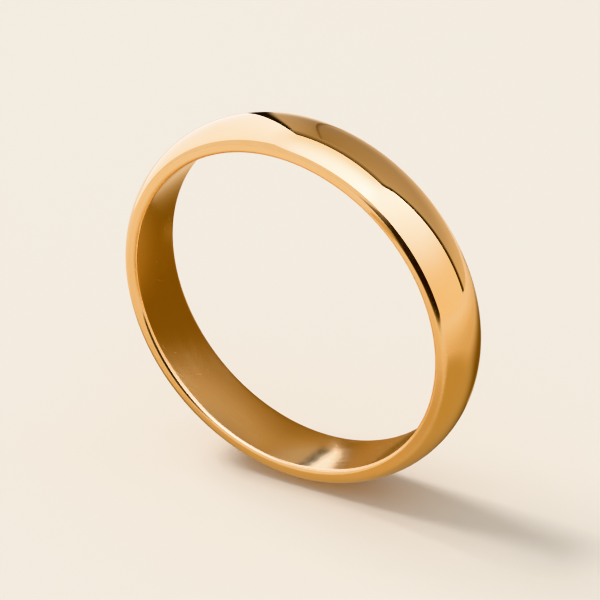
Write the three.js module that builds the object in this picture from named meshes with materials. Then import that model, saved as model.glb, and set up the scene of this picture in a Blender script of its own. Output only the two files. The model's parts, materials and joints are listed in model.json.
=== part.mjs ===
// A plain D-section wedding band, in millimetres: domed outside, flat side walls and a smooth round bore.
// The finger hole runs along Y, Z is up, and the origin is the middle of the hole.
// A band like this is one seamless piece of gold, so it is one closed outline turned once round the Y axis.

import * as THREE from "three";

// Sizes of the band.
const boreDiameter = 17.5; // the finger hole, from wall to wall
const bandWidth = 3.5; // along the finger, from side wall to side wall
const sideWallHeight = 0.6; // from the bore out to the corner where side wall and dome meet
const domeRise = 0.6; // how far the crown stands above those corners
const innerEdgeRadius = 0.22; // eased edge between bore and side wall, so that the band slides on
const outerEdgeRadius = 0.4; // rounded edge between side wall and dome

// How finely the round stretches are faceted.
const facetsRound = 120;
const domeFacets = 10;
const innerEdgeFacets = 3;
const outerEdgeFacets = 3;

// What follows from the sizes. In the outline, x is the distance from the hole's axis and y runs along it.
const boreRadius = boreDiameter / 2;
const cornerRadius = boreRadius + sideWallHeight;
const halfWidth = bandWidth / 2;
const quarterTurn = Math.PI / 2;
const halfTurn = Math.PI;

// The dome is an arc through both corners and the crown, with its centre on the band's middle plane.
const domeRadius = (halfWidth ** 2 + domeRise ** 2) / (2 * domeRise);
const domeCentre = cornerRadius + domeRise - domeRadius;

// The rounded outer edge is an arc that touches the side wall and, from inside, the dome.
const outerEdgeHeight = halfWidth - outerEdgeRadius;
const outerEdgeCentre = domeCentre + Math.sqrt((domeRadius - outerEdgeRadius) ** 2 - outerEdgeHeight ** 2);
const domeEndAngle = Math.atan2(outerEdgeHeight, outerEdgeCentre - domeCentre);

const innerEdgeHeight = halfWidth - innerEdgeRadius;
const innerEdgeCentre = boreRadius + innerEdgeRadius;

function arc(centreX, centreY, radius, startAngle, endAngle, facets) {
  return new THREE.EllipseCurve(centreX, centreY, radius, radius, startAngle, endAngle).getPoints(facets);
}

// The cross-section, once round: up over the dome, in along one side wall, back down the bore and out along
// the other side wall. The arcs are joined by straight lines, which are the two flat side walls and the bore.
function bandOutline() {
  const outline = [
    ...arc(domeCentre, 0, domeRadius, -domeEndAngle, domeEndAngle, domeFacets),
    ...arc(outerEdgeCentre, outerEdgeHeight, outerEdgeRadius, domeEndAngle, quarterTurn, outerEdgeFacets).slice(1),
    ...arc(innerEdgeCentre, innerEdgeHeight, innerEdgeRadius, quarterTurn, halfTurn, innerEdgeFacets),
    ...arc(innerEdgeCentre, -innerEdgeHeight, innerEdgeRadius, halfTurn, halfTurn + quarterTurn, innerEdgeFacets),
    ...arc(outerEdgeCentre, -outerEdgeHeight, outerEdgeRadius, -quarterTurn, -domeEndAngle, outerEdgeFacets),
  ];
  outline[outline.length - 1] = outline[0].clone();
  return outline;
}

const polishedGold = new THREE.MeshStandardMaterial({ color: 0xe6b062, roughness: 0.12, metalness: 1.0 });

function makeBand() {
  const band = new THREE.Mesh(new THREE.LatheGeometry(bandOutline(), facetsRound), polishedGold);
  band.name = "band";
  return band;
}

const weddingBand = new THREE.Group();
weddingBand.add(makeBand());

export default weddingBand;
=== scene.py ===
import json
import math

import bpy
from mathutils import Matrix, Vector


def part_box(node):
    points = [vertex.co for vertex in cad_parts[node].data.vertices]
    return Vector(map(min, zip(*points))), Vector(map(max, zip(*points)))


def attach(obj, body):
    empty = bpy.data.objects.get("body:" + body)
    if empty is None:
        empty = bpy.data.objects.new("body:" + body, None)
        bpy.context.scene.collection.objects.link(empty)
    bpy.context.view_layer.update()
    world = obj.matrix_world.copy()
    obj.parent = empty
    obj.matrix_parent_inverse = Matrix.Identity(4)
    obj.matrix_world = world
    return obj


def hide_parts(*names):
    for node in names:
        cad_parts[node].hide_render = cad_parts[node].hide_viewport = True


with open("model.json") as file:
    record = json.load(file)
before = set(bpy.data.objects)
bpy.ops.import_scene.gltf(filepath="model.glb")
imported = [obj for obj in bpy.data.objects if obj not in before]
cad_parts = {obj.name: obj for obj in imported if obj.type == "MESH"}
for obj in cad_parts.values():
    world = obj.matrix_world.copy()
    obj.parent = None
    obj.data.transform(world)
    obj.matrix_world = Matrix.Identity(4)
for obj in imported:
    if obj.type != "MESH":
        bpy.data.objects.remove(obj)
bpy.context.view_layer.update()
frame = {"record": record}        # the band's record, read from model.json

mm = 0.001
bandLow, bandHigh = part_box("band")
fingerHole = next(m for m in frame["record"]["mounts"] if m["name"] == "finger_hole")
boreRadius = fingerHole["dims"]["r_mm"] * mm
crownRadius = bandHigh.z
halfWidth = bandHigh.y
print("frame loaded: crown radius", round(crownRadius / mm, 3), "mm,",
      "bore radius", round(boreRadius / mm, 3), "mm")


# Small helpers that every node tree here is built with.
def feed(tree, socket, value):
    if isinstance(value, bpy.types.NodeSocket):
        tree.links.new(value, socket)
    else:
        socket.default_value = value


def addNode(tree, kind, **settings):
    node = tree.nodes.new(kind)
    for name, value in settings.items():
        setattr(node, name, value)
    return node


def calc(tree, operation, a, b=None, c=None, clamp=False):
    node = addNode(tree, "ShaderNodeMath", operation=operation, use_clamp=clamp)
    for socket, value in zip(node.inputs, (a, b, c)):
        if value is not None:
            feed(tree, socket, value)
    return node.outputs[0]


def addSquares(tree, a, b):
    return calc(tree, "ADD", calc(tree, "POWER", a, 2.0), calc(tree, "POWER", b, 2.0))


def joinXYZ(tree, x, y, z=0.0):
    node = addNode(tree, "ShaderNodeCombineXYZ")
    for socket, value in zip(node.inputs, (x, y, z)):
        feed(tree, socket, value)
    return node.outputs[0]


def fadeBetween(tree, value, low, high, toLow=0.0, toHigh=1.0):
    node = addNode(tree, "ShaderNodeMapRange", interpolation_type="SMOOTHSTEP")
    for socket, given in zip(node.inputs, (value, low, high, toLow, toHigh)):
        feed(tree, socket, given)
    return node.outputs[0]


def startGroup(name, inputs, outputs):
    group = bpy.data.node_groups.new(name, "ShaderNodeTree")
    for label, kind, default in inputs:
        socket = group.interface.new_socket(label, in_out="INPUT", socket_type=kind)
        if default is not None:
            socket.default_value = default
    for label, kind in outputs:
        group.interface.new_socket(label, in_out="OUTPUT", socket_type=kind)
    return group, addNode(group, "NodeGroupInput"), addNode(group, "NodeGroupOutput")


# Where a point lies on the band: how far from the hole's axis, how far along it, and which way round.
# Round is the way round at the crown. Across keeps changing over the bore, the side walls and the dome.
# Both are in metres. Round Cos and Round Sin say the way round without a seam.
def makeBandPlace():
    group, _, result = startGroup(
        "bandPlace",
        [],
        [("Radius", "NodeSocketFloat"), ("Along", "NodeSocketFloat"),
         ("Round Cos", "NodeSocketFloat"), ("Round Sin", "NodeSocketFloat"),
         ("Round", "NodeSocketFloat"), ("Across", "NodeSocketFloat"), ("Point", "NodeSocketVector")],
    )
    point = addNode(group, "ShaderNodeTexCoord").outputs["Object"]
    parts = addNode(group, "ShaderNodeSeparateXYZ")
    feed(group, parts.inputs[0], point)
    radius = calc(group, "SQRT", addSquares(group, parts.outputs["X"], parts.outputs["Z"]))
    turn = calc(group, "ARCTAN2", parts.outputs["X"], parts.outputs["Z"])      # its seam is at the foot
    feed(group, result.inputs["Radius"], radius)
    feed(group, result.inputs["Along"], parts.outputs["Y"])
    feed(group, result.inputs["Round Cos"], calc(group, "DIVIDE", parts.outputs["X"], radius))
    feed(group, result.inputs["Round Sin"], calc(group, "DIVIDE", parts.outputs["Z"], radius))
    feed(group, result.inputs["Round"], calc(group, "MULTIPLY", turn, crownRadius))
    feed(group, result.inputs["Across"], calc(group, "ADD", parts.outputs["Y"], radius))
    feed(group, result.inputs["Point"], point)
    return group


# Marks of the polishing wheel: very fine lines that run round the band and slowly fade in and out.
def makePolishingLines(bandPlace):
    group, given, result = startGroup(
        "polishingLines",
        [("Lines per Metre", "NodeSocketFloat", 9000.0), ("Fade Round", "NodeSocketFloat", 2.5)],
        [("Height", "NodeSocketFloat")],
    )
    place = addNode(group, "ShaderNodeGroup", node_tree=bandPlace)
    across = calc(group, "MULTIPLY", place.outputs["Along"], given.outputs["Lines per Metre"])
    outward = calc(group, "MULTIPLY", place.outputs["Radius"], given.outputs["Lines per Metre"])
    roundCos = calc(group, "MULTIPLY", place.outputs["Round Cos"], given.outputs["Fade Round"])
    roundSin = calc(group, "MULTIPLY", place.outputs["Round Sin"], given.outputs["Fade Round"])
    noise = addNode(group, "ShaderNodeTexNoise", noise_dimensions="4D")
    feed(group, noise.inputs["Vector"], joinXYZ(group, across, outward, roundCos))
    feed(group, noise.inputs["W"], roundSin)
    noise.inputs["Scale"].default_value = 1.0      # the place is already counted in lines
    noise.inputs["Detail"].default_value = 3.0
    feed(group, result.inputs["Height"], noise.outputs[0])
    return group


# Hairline scratches: the surface is parted into cells, and a cell may hold one straight thread, set at
# random. Layers of other cell sizes and slants lie over each other. Places and lengths are shares of a cell.
hairlineSizes = {
    "layers": ((0.4, 1.0), (1.3, 1.7), (2.3, 2.9), (2.9, 0.7)),     # slant in radians, and how much finer
    "layerShift": 3.7,          # keeps the layers' dice apart
    "middleFrom": 0.35,         # a thread's middle lies between this and this plus the spread
    "middleSpread": 0.3,
    "slantSpread": 2.2,         # radians
    "fadeStart": 0.12,          # from its middle to where a thread begins to fade, and to its end
    "fadeEnd": 0.34,
    "weakest": 0.3,
}


def makeHairlines(bandPlace):
    group, given, result = startGroup(
        "hairlines",
        [("Cells per Metre", "NodeSocketFloat", 400.0), ("Share", "NodeSocketFloat", 0.5),
         ("Thread Width", "NodeSocketFloat", 0.02 * mm), ("Shift", "NodeSocketFloat", 0.0)],
        [("Mask", "NodeSocketFloat")],
    )
    place = addNode(group, "ShaderNodeGroup", node_tree=bandPlace)
    flat = joinXYZ(group, place.outputs["Round"], place.outputs["Across"])
    middleFrom = hairlineSizes["middleFrom"]
    middleSpread = hairlineSizes["middleSpread"]
    weakest = hairlineSizes["weakest"]
    total = None
    for index, (slant, finer) in enumerate(hairlineSizes["layers"]):
        perMetre = calc(group, "MULTIPLY", given.outputs["Cells per Metre"], finer)
        turned = addNode(group, "ShaderNodeVectorRotate", rotation_type="Z_AXIS")
        feed(group, turned.inputs["Vector"], flat)
        turned.inputs["Angle"].default_value = slant
        scaled = addNode(group, "ShaderNodeVectorMath", operation="SCALE")
        feed(group, scaled.inputs[0], turned.outputs[0])
        feed(group, scaled.inputs["Scale"], perMetre)
        cell = addNode(group, "ShaderNodeVectorMath", operation="FLOOR")
        feed(group, cell.inputs[0], scaled.outputs[0])
        chance = addNode(group, "ShaderNodeTexWhiteNoise", noise_dimensions="4D")
        feed(group, chance.inputs["Vector"], cell.outputs[0])
        shift = calc(group, "ADD", given.outputs["Shift"], hairlineSizes["layerShift"] * index)
        feed(group, chance.inputs["W"], shift)
        dice = addNode(group, "ShaderNodeSeparateXYZ")
        feed(group, dice.inputs[0], chance.outputs["Color"])
        inCell = addNode(group, "ShaderNodeVectorMath", operation="FRACTION")
        feed(group, inCell.inputs[0], scaled.outputs[0])
        moved = addNode(group, "ShaderNodeVectorMath", operation="SUBTRACT")
        feed(group, moved.inputs[0], inCell.outputs[0])
        midX = calc(group, "MULTIPLY_ADD", dice.outputs["X"], middleSpread, middleFrom)
        midY = calc(group, "MULTIPLY_ADD", dice.outputs["Y"], middleSpread, middleFrom)
        feed(group, moved.inputs[1], joinXYZ(group, midX, midY))
        laid = addNode(group, "ShaderNodeVectorRotate", rotation_type="Z_AXIS")
        feed(group, laid.inputs["Vector"], moved.outputs[0])
        lean = calc(group, "MULTIPLY", dice.outputs["Z"], hairlineSizes["slantSpread"])
        feed(group, laid.inputs["Angle"], lean)
        thread = addNode(group, "ShaderNodeSeparateXYZ")
        feed(group, thread.inputs[0], laid.outputs[0])
        aside = calc(group, "DIVIDE", calc(group, "ABSOLUTE", thread.outputs["Y"]), perMetre)
        thin = fadeBetween(group, aside, 0.0, given.outputs["Thread Width"], 1.0, 0.0)
        fromMiddle = calc(group, "ABSOLUTE", thread.outputs["X"])
        ends = fadeBetween(group, fromMiddle, hairlineSizes["fadeStart"], hairlineSizes["fadeEnd"], 1.0, 0.0)
        kept = calc(group, "LESS_THAN", chance.outputs["Value"], given.outputs["Share"])
        strength = calc(group, "MULTIPLY_ADD", dice.outputs["Y"], 1.0 - weakest, weakest)
        shape = calc(group, "MULTIPLY", thin, ends)
        mask = calc(group, "MULTIPLY", shape, calc(group, "MULTIPLY", kept, strength))
        total = mask if total is None else calc(group, "MAXIMUM", total, mask)
    feed(group, result.inputs["Mask"], total)
    return group


# Wear along an edge that runs round the band, strongest on the edge itself and broken up along it.
speckSizes = {
    "perMetre": 1500.0,
    "detail": 4.0,
    "low": 0.35,        # the noise breaks the wear up below this and leaves it whole above the next
    "high": 0.65,
}


def makeEdgeWear(bandPlace):
    group, given, result = startGroup(
        "edgeWear",
        [("Edge Radius", "NodeSocketFloat", crownRadius), ("Edge Height", "NodeSocketFloat", halfWidth),
         ("Reach", "NodeSocketFloat", 0.2 * mm), ("Break-up", "NodeSocketFloat", 0.5)],
        [("Mask", "NodeSocketFloat")],
    )
    place = addNode(group, "ShaderNodeGroup", node_tree=bandPlace)
    outward = calc(group, "SUBTRACT", place.outputs["Radius"], given.outputs["Edge Radius"])
    fromMiddle = calc(group, "ABSOLUTE", place.outputs["Along"])
    along = calc(group, "SUBTRACT", fromMiddle, given.outputs["Edge Height"])
    distance = calc(group, "SQRT", addSquares(group, outward, along))
    near = fadeBetween(group, distance, 0.0, given.outputs["Reach"], 1.0, 0.0)
    specks = addNode(group, "ShaderNodeTexNoise")
    feed(group, specks.inputs["Vector"], place.outputs["Point"])
    specks.inputs["Scale"].default_value = speckSizes["perMetre"]
    specks.inputs["Detail"].default_value = speckSizes["detail"]
    whole = fadeBetween(group, specks.outputs[0], speckSizes["low"], speckSizes["high"])
    lost = calc(group, "MULTIPLY", given.outputs["Break-up"], calc(group, "SUBTRACT", 1.0, whole))
    kept = calc(group, "SUBTRACT", 1.0, lost)
    feed(group, result.inputs["Mask"], calc(group, "MULTIPLY", near, kept))
    return group


bandPlace = makeBandPlace()
polishingLines = makePolishingLines(bandPlace)
hairlines = makeHairlines(bandPlace)
edgeWear = makeEdgeWear(bandPlace)

# Depths are in metres. Dulling and haze are added to the roughness.
outsideFinish = {
    "tone": (0.98, 0.63, 0.30, 1.0),
    "wornTone": (1.0, 0.72, 0.42, 1.0),
    "roughness": 0.045,
    "haze": 0.03,
    "linesPerMetre": 9000.0,
    "lineDepth": 0.12e-6,
    "lineDulling": 0.03,
    "scratchShare": 0.5,
    "scratchDepth": 0.25e-6,
    "scratchDulling": 0.08,
    "rippleDepth": 5.0e-6,
    "wearDepth": 1.2e-6,
    "wearDulling": 0.14,
}
boreFinish = {
    "tone": (0.97, 0.62, 0.29, 1.0),
    "wornTone": (1.0, 0.70, 0.39, 1.0),
    "roughness": 0.15,
    "haze": 0.06,
    "linesPerMetre": 7000.0,
    "lineDepth": 0.6e-6,
    "lineDulling": 0.10,
    "scratchShare": 0.45,
    "scratchDepth": 0.6e-6,
    "scratchDulling": 0.12,
    "rippleDepth": 4.0e-6,
    "wearDepth": 1.2e-6,
    "wearDulling": 0.12,
}


# What both finishes share. Scales are per metre.
goldPattern = {
    "hazeScale": 260.0,
    "hazeDetail": 5.0,
    "hazeRange": (0.45, 0.75),      # where in the noise the haze begins and is full
    "driftRange": (0.3, 0.7),
    "saturation": (0.97, 1.03),
    "rippleScale": 150.0,
    "rippleDetail": 1.0,
    "wornShare": 0.5,               # how far full wear takes the tone to the worn one
}


def makeGold(name, finish, wornEdges, shift):
    material = bpy.data.materials.new(name)
    material.use_nodes = True
    tree = material.node_tree
    shader = tree.nodes["Principled BSDF"]
    shader.inputs["Metallic"].default_value = 1.0

    lines = addNode(tree, "ShaderNodeGroup", node_tree=polishingLines)
    lines.inputs["Lines per Metre"].default_value = finish["linesPerMetre"]
    threads = addNode(tree, "ShaderNodeGroup", node_tree=hairlines)
    threads.inputs["Share"].default_value = finish["scratchShare"]
    threads.inputs["Shift"].default_value = shift
    wear = None
    for edgeRadius, edgeHeight, reach in wornEdges:
        edge = addNode(tree, "ShaderNodeGroup", node_tree=edgeWear)
        edge.inputs["Edge Radius"].default_value = edgeRadius
        edge.inputs["Edge Height"].default_value = edgeHeight
        edge.inputs["Reach"].default_value = reach
        wear = edge.outputs["Mask"] if wear is None else calc(tree, "MAXIMUM", wear, edge.outputs["Mask"])

    place = addNode(tree, "ShaderNodeGroup", node_tree=bandPlace)
    haze = addNode(tree, "ShaderNodeTexNoise")
    feed(tree, haze.inputs["Vector"], place.outputs["Point"])
    haze.inputs["Scale"].default_value = goldPattern["hazeScale"]
    haze.inputs["Detail"].default_value = goldPattern["hazeDetail"]

    tint = addNode(tree, "ShaderNodeMix", data_type="RGBA")
    feed(tree, tint.inputs["Factor"], calc(tree, "MULTIPLY", wear, goldPattern["wornShare"]))
    tint.inputs["A"].default_value = finish["tone"]
    tint.inputs["B"].default_value = finish["wornTone"]
    drift = addNode(tree, "ShaderNodeHueSaturation")
    feed(tree, drift.inputs["Color"], tint.outputs["Result"])
    saturation = fadeBetween(tree, haze.outputs[0], *goldPattern["driftRange"], *goldPattern["saturation"])
    feed(tree, drift.inputs["Saturation"], saturation)
    feed(tree, shader.inputs["Base Color"], drift.outputs[0])

    evenRoughness = finish["roughness"] - finish["lineDulling"] / 2     # so that the lines average out
    dull = calc(tree, "MULTIPLY_ADD", lines.outputs["Height"], finish["lineDulling"], evenRoughness)
    dull = calc(tree, "MULTIPLY_ADD", threads.outputs["Mask"], finish["scratchDulling"], dull)
    dull = calc(tree, "MULTIPLY_ADD", wear, finish["wearDulling"], dull)
    hazy = fadeBetween(tree, haze.outputs[0], *goldPattern["hazeRange"])
    dull = calc(tree, "MULTIPLY_ADD", hazy, finish["haze"], dull, clamp=True)
    feed(tree, shader.inputs["Roughness"], dull)

    ripple = addNode(tree, "ShaderNodeTexNoise")
    feed(tree, ripple.inputs["Vector"], place.outputs["Point"])
    ripple.inputs["Scale"].default_value = goldPattern["rippleScale"]
    ripple.inputs["Detail"].default_value = goldPattern["rippleDetail"]
    fullDepth = finish["rippleDepth"]       # the ripple is the deepest, and the rest are shares of it
    height = calc(tree, "MULTIPLY", lines.outputs["Height"], finish["lineDepth"] / fullDepth)
    cut = calc(tree, "MULTIPLY", threads.outputs["Mask"], finish["scratchDepth"] / fullDepth)
    height = calc(tree, "SUBTRACT", height, cut)
    height = calc(tree, "MULTIPLY_ADD", wear, -finish["wearDepth"] / fullDepth, height)
    height = calc(tree, "ADD", height, ripple.outputs[0])
    bump = addNode(tree, "ShaderNodeBump")
    bump.inputs["Strength"].default_value = 1.0
    bump.inputs["Distance"].default_value = fullDepth
    feed(tree, bump.inputs["Height"], height)
    feed(tree, shader.inputs["Normal"], bump.outputs[0])
    return material


# Sizes of the band's section, in metres, and how many points each stretch of it is drawn with.
bandSizes = {
    "Bore Radius": boreRadius,
    "Crown Radius": crownRadius,
    "Width": 2 * halfWidth,
    "Side Wall Height": 0.6 * mm,
    "Inner Edge Radius": 0.22 * mm,
    "Outer Edge Radius": 0.4 * mm,
    "Steps Round": 560,
    "Dome Points": 72,
    "Edge Points": 13,
    "Wall Points": 8,
    "Bore Points": 28,
}
boreFinishLimit = 0.3       # share of the eased inner edge, from the bore out, with the bore's finish
weldDistance = 0.001 * mm

# Edges that wear: each one's radius, its height along the hole, and how far the wear reaches.
cornerRadius = boreRadius + bandSizes["Side Wall Height"]
outerWornEdge = (cornerRadius, halfWidth, 0.22 * mm)
innerWornEdge = (boreRadius, halfWidth, 0.3 * mm)
boreShift = 5.0             # gives the bore other scratches than the outside
polishedGold = makeGold("polishedGold", outsideFinish, (outerWornEdge, innerWornEdge), 0.0)
boreGold = makeGold("boreGold", boreFinish, (innerWornEdge,), boreShift)
print("gold finishes made")


# The band's section is drawn from its sizes as arcs and straight walls, and carried once round the hole.
# In the section, x is the height above the bore's wall and y runs along the hole.
def makeBandTree():
    tree = bpy.data.node_groups.new("turnedBand", "GeometryNodeTree")
    tree.is_modifier = True
    for label, value in bandSizes.items():
        kind = "NodeSocketInt" if isinstance(value, int) else "NodeSocketFloat"
        tree.interface.new_socket(label, in_out="INPUT", socket_type=kind)
    for label in ("Outside Finish", "Bore Finish"):
        tree.interface.new_socket(label, in_out="INPUT", socket_type="NodeSocketMaterial")
    tree.interface.new_socket("Band", in_out="OUTPUT", socket_type="NodeSocketGeometry")
    given = addNode(tree, "NodeGroupInput").outputs
    section = addNode(tree, "GeometryNodeJoinGeometry")
    quarter = math.pi / 2

    def addArc(centreX, centreY, radius, start, sweep, points):
        arc = addNode(tree, "GeometryNodeCurveArc")
        feed(tree, arc.inputs["Resolution"], points)
        feed(tree, arc.inputs["Radius"], radius)
        feed(tree, arc.inputs["Start Angle"], start)
        feed(tree, arc.inputs["Sweep Angle"], sweep)
        placed = addNode(tree, "GeometryNodeTransform")
        feed(tree, placed.inputs["Geometry"], arc.outputs["Curve"])
        feed(tree, placed.inputs["Translation"], joinXYZ(tree, centreX, centreY))
        feed(tree, section.inputs[0], placed.outputs[0])

    def addWall(startX, startY, endX, endY, points):
        wall = addNode(tree, "GeometryNodeCurvePrimitiveLine")
        feed(tree, wall.inputs["Start"], joinXYZ(tree, startX, startY))
        feed(tree, wall.inputs["End"], joinXYZ(tree, endX, endY))
        divided = addNode(tree, "GeometryNodeResampleCurve")
        feed(tree, divided.inputs["Curve"], wall.outputs[0])
        feed(tree, divided.inputs["Count"], points)
        feed(tree, section.inputs[0], divided.outputs[0])

    half = calc(tree, "DIVIDE", given["Width"], 2.0)
    crown = calc(tree, "SUBTRACT", given["Crown Radius"], given["Bore Radius"])
    rise = calc(tree, "SUBTRACT", crown, given["Side Wall Height"])
    domeRadius = calc(tree, "DIVIDE", addSquares(tree, half, rise), calc(tree, "MULTIPLY", rise, 2.0))
    domeCentre = calc(tree, "SUBTRACT", crown, domeRadius)
    outerEdge = given["Outer Edge Radius"]
    outerY = calc(tree, "SUBTRACT", half, outerEdge)
    reach = calc(tree, "POWER", calc(tree, "SUBTRACT", domeRadius, outerEdge), 2.0)
    outerOffset = calc(tree, "SQRT", calc(tree, "SUBTRACT", reach, calc(tree, "POWER", outerY, 2.0)))
    outerX = calc(tree, "ADD", domeCentre, outerOffset)
    domeEnd = calc(tree, "ARCTAN2", outerY, outerOffset)
    edgeSweep = calc(tree, "SUBTRACT", quarter, domeEnd)
    innerEdge = given["Inner Edge Radius"]
    innerY = calc(tree, "SUBTRACT", half, innerEdge)

    def below(value):
        return calc(tree, "MULTIPLY", value, -1.0)

    domeSweep = calc(tree, "MULTIPLY", domeEnd, 2.0)
    addArc(domeCentre, 0.0, domeRadius, below(domeEnd), domeSweep, given["Dome Points"])
    addArc(outerX, outerY, outerEdge, domeEnd, edgeSweep, given["Edge Points"])
    addWall(outerX, half, innerEdge, half, given["Wall Points"])
    addArc(innerEdge, innerY, innerEdge, quarter, quarter, given["Edge Points"])
    addWall(0.0, innerY, 0.0, below(innerY), given["Bore Points"])
    addArc(innerEdge, below(innerY), innerEdge, 2 * quarter, quarter, given["Edge Points"])
    addWall(innerEdge, below(half), outerX, below(half), given["Wall Points"])
    addArc(outerX, below(outerY), outerEdge, -quarter, edgeSweep, given["Edge Points"])

    path = addNode(tree, "GeometryNodeCurvePrimitiveCircle")
    feed(tree, path.inputs["Resolution"], given["Steps Round"])
    feed(tree, path.inputs["Radius"], given["Bore Radius"])
    swept = addNode(tree, "GeometryNodeCurveToMesh")
    feed(tree, swept.inputs["Curve"], path.outputs[0])
    feed(tree, swept.inputs["Profile Curve"], section.outputs[0])
    upright = addNode(tree, "GeometryNodeTransform")
    feed(tree, upright.inputs["Geometry"], swept.outputs[0])
    upright.inputs["Rotation"].default_value = (quarter, 0.0, 0.0)
    welded = addNode(tree, "GeometryNodeMergeByDistance")
    feed(tree, welded.inputs["Geometry"], upright.outputs[0])
    welded.inputs["Distance"].default_value = weldDistance
    smooth = addNode(tree, "GeometryNodeSetShadeSmooth")
    feed(tree, smooth.inputs["Geometry"], welded.outputs[0])
    whole = addNode(tree, "GeometryNodeRealizeInstances")
    feed(tree, whole.inputs[0], smooth.outputs[0])
    outside = addNode(tree, "GeometryNodeSetMaterial")
    feed(tree, outside.inputs["Geometry"], whole.outputs[0])
    feed(tree, outside.inputs["Material"], given["Outside Finish"])

    place = addNode(tree, "ShaderNodeSeparateXYZ")
    feed(tree, place.inputs[0], addNode(tree, "GeometryNodeInputPosition").outputs[0])
    fromAxis = calc(tree, "SQRT", addSquares(tree, place.outputs["X"], place.outputs["Z"]))
    boreLimit = calc(tree, "MULTIPLY_ADD", innerEdge, boreFinishLimit, given["Bore Radius"])
    inBore = calc(tree, "LESS_THAN", fromAxis, boreLimit)
    bore = addNode(tree, "GeometryNodeSetMaterial")
    feed(tree, bore.inputs["Geometry"], outside.outputs[0])
    feed(tree, bore.inputs["Selection"], inBore)
    feed(tree, bore.inputs["Material"], given["Bore Finish"])
    result = addNode(tree, "NodeGroupOutput")
    feed(tree, result.inputs["Band"], bore.outputs[0])
    return tree


def makeBand():
    tree = makeBandTree()
    band = bpy.data.objects.new("turnedBand", bpy.data.meshes.new("turnedBand"))
    bpy.context.scene.collection.objects.link(band)
    turning = band.modifiers.new("turning", "NODES")
    turning.node_group = tree
    values = {**bandSizes, "Outside Finish": polishedGold, "Bore Finish": boreGold}
    for item in tree.interface.items_tree:
        if item.in_out == "INPUT":
            turning[item.identifier] = values[item.name]
    graph = bpy.context.evaluated_depsgraph_get()
    mesh = bpy.data.meshes.new_from_object(band.evaluated_get(graph), depsgraph=graph)
    band.modifiers.remove(turning)
    band.data = mesh
    mesh.name = "turnedBand"
    return band


band = makeBand()
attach(band, "root")
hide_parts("band")
print("band made:", len(band.data.vertices), "points,", len(band.data.polygons), "faces")


# The floor, its light and the air around. The backdrop has the tone of the far floor, so no horizon shows.
studio = {
    "floorReach": 3.0,
    "floorTone": (0.85, 0.81, 0.755, 1.0),
    "floorRoughness": 0.9,
    "floorGloss": 0.1,
    "airTone": (0.66, 0.63, 0.58),
    "backdropTone": (1.052, 0.978, 0.866),
    "lightFrom": Vector((-0.62, 0.05, 0.80)),
    "lightSpread": math.radians(28),
    "lightPower": 2.5,
    "lightTone": (1.0, 0.98, 0.96),
}


def addStagePlane(name, corners, material):
    mesh = bpy.data.meshes.new(name)
    mesh.from_pydata([tuple(c) for c in corners], [], [(0, 1, 2, 3)])
    sheet = mesh.uv_layers.new(name="sheet")
    for loop, uv in zip(sheet.data, ((0, 0), (1, 0), (1, 1), (0, 1))):
        loop.uv = uv
    mesh.materials.append(material)
    plane = bpy.data.objects.new(name, mesh)
    bpy.context.scene.collection.objects.link(plane)
    return plane


def makeFloor():
    material = bpy.data.materials.new("paleFloor")
    material.use_nodes = True
    shader = material.node_tree.nodes["Principled BSDF"]
    shader.inputs["Base Color"].default_value = studio["floorTone"]
    shader.inputs["Roughness"].default_value = studio["floorRoughness"]
    shader.inputs["Specular IOR Level"].default_value = studio["floorGloss"]
    far = studio["floorReach"]
    z = bandLow.z
    return addStagePlane("floor", ((-far, -far, z), (far, -far, z), (far, far, z), (-far, far, z)), material)


makeFloor()

# The band is lit as in an open box: a shaded lid behind it, bright air to the left, right and above, and the
# dark of the room in front on the right. The panels are seen only as reflections, from the side they face.
# Corners are in millimetres and go foot left, foot right, top right, top left, as seen from the band.
# Tones go in the same order. Turn is where between foot and top the tone turns from one to the other.
# A rim is how wide it is, how soft, and its tone. Round is where a panel begins to fade out and where it is
# gone. The panels at a height of about -9.9 lie flat just over the floor and take its place in reflections.
# The small ones round the band's foot are painted shadow and painted shade of the floor, seen only in the
# gold; the widest, warm one under them is painted shade with painted bounce light from the gold. lowShade
# and the panel above it stand upright close behind the band and are painted shade too.
darkRim = (0.012, 0.008, 0.006)
brownRim = (0.06, 0.035, 0.02)
sandRim = (0.75, 0.58, 0.36)
amberRim = (0.55, 0.42, 0.26)
leftMeeting = (0.9, 0.8, 0.65)      # panels that meet share a tone along their seam
leftTopMeeting = (2.6, 3.0, 4.0)
rightTopMeeting = (4.0, 5.2, 7.8)
roomTone = (0.018, 0.011, 0.016)
paleAir = (0.95, 0.88, 0.80)
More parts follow.
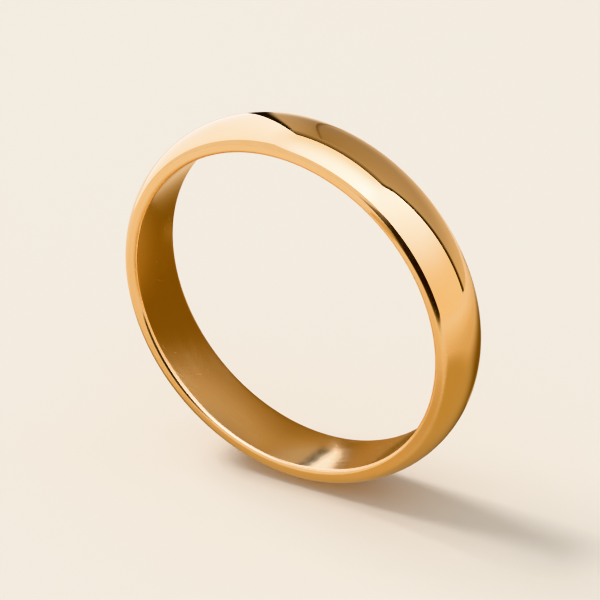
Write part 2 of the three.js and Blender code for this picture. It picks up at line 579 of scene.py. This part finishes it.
panels = {
    "lidBack": {
        "corners": ((-29, 60, -25), (67, 60, -25), (72, 60, 106), (-22, 60, 106)),
        "tones": ((0.74, 0.62, 0.47), (0.82, 0.70, 0.52), (0.60, 0.52, 0.43), (0.38, 0.32, 0.26)),
        "turn": (0.10, 0.40),
        "rims": {"left": (1.2, 3, (0.18, 0.13, 0.10)), "right": (12, 7, (0.05, 0.030, 0.02))},
    },
    "lidFlank": {
        "corners": ((-46, 60, -25), (-29, 60, -25), (-22, 60, 106), (-59, 60, 106)),
        "tones": ((1.00, 0.95, 0.85), (0.95, 0.85, 0.70), (0.40, 0.34, 0.28), (0.62, 0.54, 0.45)),
        "turn": (0.10, 0.35),
        "rims": {"left": (5, 3, darkRim)},
    },
    "lidTop": {
        "corners": ((-59, 60, 104), (72, 60, 104), (66, 44, 120), (-46, 44, 120)),
        "tones": ((0.45, 0.38, 0.30), (0.60, 0.52, 0.42), (0.30, 0.24, 0.18), (0.26, 0.20, 0.15)),
        "turn": (0.0, 0.6),
        "rims": {"left": (5, 3, darkRim), "right": (9, 7, brownRim), "top": (6, 6, brownRim)},
    },
    "leftWindow": {
        "corners": ((-60, -22, -25), (-60, 85, -25), (-60, 85, 120), (-60, -34, 120)),
        "tones": ((2.2, 2.4, 2.7), (2.6, 3.0, 3.7), (4.0, 5.0, 7.2), (2.4, 2.7, 3.3)),
        "turn": (0.1, 0.9),
        "rims": {"left": (6, 12, leftMeeting), "top": (12, 24, leftTopMeeting)},
    },
    "rightSheet": {
        "corners": ((80, 85, -25), (80, -32, -25), (80, -115, 120), (80, 85, 120)),
        "tones": ((1.25, 1.10, 0.84), (1.20, 1.05, 0.80), (3.6, 4.4, 6.2), (4.6, 6.2, 9.4)),
        "turn": (0.22, 1.0),
        "rims": {"top": (14, 28, rightTopMeeting)},
    },
    "frontFlag": {
        "corners": ((79, -25, -25), (79, -125, -25), (79, -125, 105), (79, -88, 105)),
        "tones": (roomTone, roomTone, (0.30, 0.26, 0.36), (0.30, 0.26, 0.36)),
        "turn": (0.75, 1.0),
        "rims": {"left": (4, 8, (1.0, 0.9, 0.95)), "top": (4, 8, (3.0, 3.6, 5.0))},
    },
    "roomFloor": {
        "corners": ((-12, -110, -9.9), (79, -110, -9.9), (79, -35, -9.9), (-12, -26, -9.9)),
        "tones": (roomTone,) * 4,
        "rims": {"top": (4, 8, sandRim), "left": (4, 8, sandRim)},
    },
    "roomDark": {
        "corners": ((79, -110, -25), (-12, -110, -25), (-12, -110, 14), (79, -110, 105)),
        "tones": (roomTone, roomTone, (0.30, 0.24, 0.24), (0.30, 0.24, 0.24)),
        "turn": (0.75, 1.0),
    },
    "frontAir": {
        "corners": ((79, -126, -25), (-60, -126, -25), (-60, -126, 120), (79, -126, 120)),
        "tones": (paleAir,) * 4,
    },
    "leftAir": {
        "corners": ((-60, -126, -25), (-60, -22, -25), (-60, -34, 120), (-60, -126, 120)),
        "tones": (paleAir,) * 4,
        "rims": {"right": (4, 8, leftMeeting)},
    },
    "overhead": {
        "corners": ((-60, 85, 120), (80, 85, 120), (80, -100, 120), (-60, -100, 120)),
        "tones": ((1.7, 1.8, 2.0), (2.0, 2.3, 2.8), (7.0, 10.0, 16.0), leftTopMeeting),
        "turn": (0.25, 0.62),
        "rims": {"left": (12, 24, leftTopMeeting), "right": (14, 28, rightTopMeeting)},
    },
    # painted shade with painted bounce light: a darker, warm sheet under the band's foot, seen only in the
    # gold
    "footBounceShade": {
        "corners": ((-45, -40, -9.93), (60, -40, -9.93), (60, 60, -9.93), (-45, 60, -9.93)),
        "tones": ((0.78, 0.61, 0.38),) * 4,
        "round": (0.30, 1.0),
    },
    # painted shadow: a dark sheet on the floor behind and under the band, seen only in the gold
    "footShade": {
        "corners": ((-20, -11, -9.92), (27, -11, -9.92), (27, 38, -9.92), (-20, 38, -9.92)),
        "tones": ((0.20, 0.11, 0.03),) * 4,
        "round": (0.30, 0.85),
    },
    # painted shade: an upright dark sheet close behind the band, paler towards its foot, seen only in the
    # gold
    "lowShade": {
        "corners": ((-18, 8, -9.9), (8, 8, -9.9), (8, 8, -4.9), (-18, 8, -4.9)),
        "tones": ((0.46, 0.29, 0.13), (0.46, 0.29, 0.13), (0.22, 0.117, 0.023), (0.22, 0.117, 0.023)),
        "turn": (0.45, 1.0),
        "rims": {"right": (2, 4, amberRim)},
    },
    # painted shade: an upright sheet over lowShade, dark at its foot and paler at its top, seen only in the
    # gold
    "highShade": {
        "corners": ((-5.4, 8, -4.9), (8, 8, -4.9), (8, 8, 1.5), (-5.4, 8, 1.5)),
        "tones": ((0.215, 0.113, 0.022), (0.215, 0.113, 0.022), (0.62, 0.50, 0.36), (0.62, 0.50, 0.36)),
        "turn": (0.35, 1.0),
        "rims": {"left": (0.8, 1.6, (0.50, 0.36, 0.20)), "right": (2, 4, amberRim)},
    },
    # painted shadow: darkens the floor in front of the band's foot as seen in the gold
    "frontShade": {
        "corners": ((-6, -19, -9.915), (15, -19, -9.915), (15, 0, -9.915), (-6, 0, -9.915)),
        "tones": ((0.66, 0.49, 0.29),) * 4,
        "round": (0.15, 0.9),
    },
    # painted shadow: darkens the floor to the right of the band's foot as seen in the gold
    "rightShade": {
        "corners": ((4, -13, -9.905), (30, -13, -9.905), (30, 13, -9.905), (4, 13, -9.905)),
        "tones": ((0.58, 0.43, 0.22),) * 4,
        "round": (0.35, 1.0),
    },
    # painted shade: a dark sheet on the floor under and to the left of the band, seen in its inner edges
    "slotShade": {
        "corners": ((-26, -8, -9.91), (2, -8, -9.91), (2, 10, -9.91), (-26, 10, -9.91)),
        "tones": ((0.26, 0.17, 0.08),) * 4,
        "round": (0.10, 1.0),
    },
}


def mixTones(tree, factor, low, high):
    node = addNode(tree, "ShaderNodeMix", data_type="RGBA")
    feed(tree, node.inputs["Factor"], factor)
    for socket, tone in ((node.inputs["A"], low), (node.inputs["B"], high)):
        feed(tree, socket, (*tone, 1.0) if isinstance(tone, tuple) else tone)
    return node.outputs["Result"]


def makePanelMaterial(name, width, height, panel):
    material = bpy.data.materials.new(name)
    material.use_nodes = True
    tree = material.node_tree
    tree.nodes.remove(tree.nodes["Principled BSDF"])
    sheet = addNode(tree, "ShaderNodeSeparateXYZ")
    feed(tree, sheet.inputs[0], addNode(tree, "ShaderNodeTexCoord").outputs["UV"])
    across, up = sheet.outputs["X"], sheet.outputs["Y"]
    footLeft, footRight, topRight, topLeft = panel["tones"]
    foot = mixTones(tree, across, footLeft, footRight)
    top = mixTones(tree, across, topLeft, topRight)
    tone = mixTones(tree, fadeBetween(tree, up, *panel.get("turn", (0.0, 1.0))), foot, top)
    fromSide = {
        "left": calc(tree, "MULTIPLY", across, width),
        "right": calc(tree, "MULTIPLY", calc(tree, "SUBTRACT", 1.0, across), width),
        "top": calc(tree, "MULTIPLY", calc(tree, "SUBTRACT", 1.0, up), height),
    }
    for side, (rimWidth, soften, rimTone) in panel.get("rims", {}).items():
        inside = fadeBetween(tree, fromSide[side], rimWidth - soften / 2, rimWidth + soften / 2)
        tone = mixTones(tree, inside, rimTone, tone)
    glow = addNode(tree, "ShaderNodeEmission")
    feed(tree, glow.inputs["Color"], tone)
    gone = addNode(tree, "ShaderNodeNewGeometry").outputs["Backfacing"]
    if "round" in panel:
        fromMiddle = [calc(tree, "MULTIPLY_ADD", way, 2.0, -1.0) for way in (across, up)]
        distance = addNode(tree, "ShaderNodeVectorMath", operation="LENGTH")
        feed(tree, distance.inputs[0], joinXYZ(tree, *fromMiddle))
        gone = calc(tree, "MAXIMUM", gone, fadeBetween(tree, distance.outputs["Value"], *panel["round"]))
    clear = addNode(tree, "ShaderNodeBsdfTransparent")
    sides = addNode(tree, "ShaderNodeMixShader")
    feed(tree, sides.inputs[0], gone)
    feed(tree, sides.inputs[1], glow.outputs[0])
    feed(tree, sides.inputs[2], clear.outputs[0])
    feed(tree, tree.nodes["Material Output"].inputs["Surface"], sides.outputs[0])
    return material


def hangPanel(name, panel):
    corners = [Vector(corner) for corner in panel["corners"]]
    width = (corners[1] - corners[0] + corners[2] - corners[3]).length / 2
    height = (corners[3] - corners[0] + corners[2] - corners[1]).length / 2
    material = makePanelMaterial(name, width, height, panel)
    plane = addStagePlane(name, [corner * mm for corner in corners], material)
    plane.visible_camera = False
    plane.visible_diffuse = False
    plane.visible_shadow = False
    return plane


for panelName, panelSizes in panels.items():
    hangPanel(panelName, panelSizes)


def makeLight():
    data = bpy.data.lights.new("softLight", "SUN")
    data.angle = studio["lightSpread"]
    data.energy = studio["lightPower"]
    data.color = studio["lightTone"]
    light = bpy.data.objects.new("softLight", data)
    bpy.context.scene.collection.objects.link(light)
    light.rotation_euler = studio["lightFrom"].to_track_quat("Z", "Y").to_euler()
    light.visible_glossy = False
    return light


def makeWorld():
    world = bpy.data.worlds.new("studioAir")
    bpy.context.scene.world = world
    world.use_nodes = True
    tree = world.node_tree
    seen = addNode(tree, "ShaderNodeLightPath").outputs["Is Camera Ray"]
    tone = mixTones(tree, seen, studio["airTone"], studio["backdropTone"])
    feed(tree, tree.nodes["Background"].inputs["Color"], tone)
    view = bpy.context.scene.view_settings
    view.view_transform = "Khronos PBR Neutral"
    view.exposure = 0.0


makeLight()
makeWorld()


cameraView = {
    "place": Vector((84.5, -121.6, 83.0)) * mm,
    "aim": Vector((0.0, 0.0, 0.0)),
    "lean": -4.2,       # degrees
    "lens": 205.0,      # millimetres, as is the sensor
    "sensor": 36.0,
    "nearest": 5 * mm,
}


def makeCamera():
    data = bpy.data.cameras.new("camera")
    camera = bpy.data.objects.new("camera", data)
    bpy.context.scene.collection.objects.link(camera)
    bpy.context.scene.camera = camera
    data.sensor_width = cameraView["sensor"]
    data.lens = cameraView["lens"]
    data.clip_start = cameraView["nearest"]
    look = (cameraView["aim"] - cameraView["place"]).to_track_quat("-Z", "Y").to_matrix().to_4x4()
    lean = Matrix.Rotation(math.radians(cameraView["lean"]), 4, "Z")
    camera.matrix_world = Matrix.Translation(cameraView["place"]) @ look @ lean
    return camera


makeCamera()
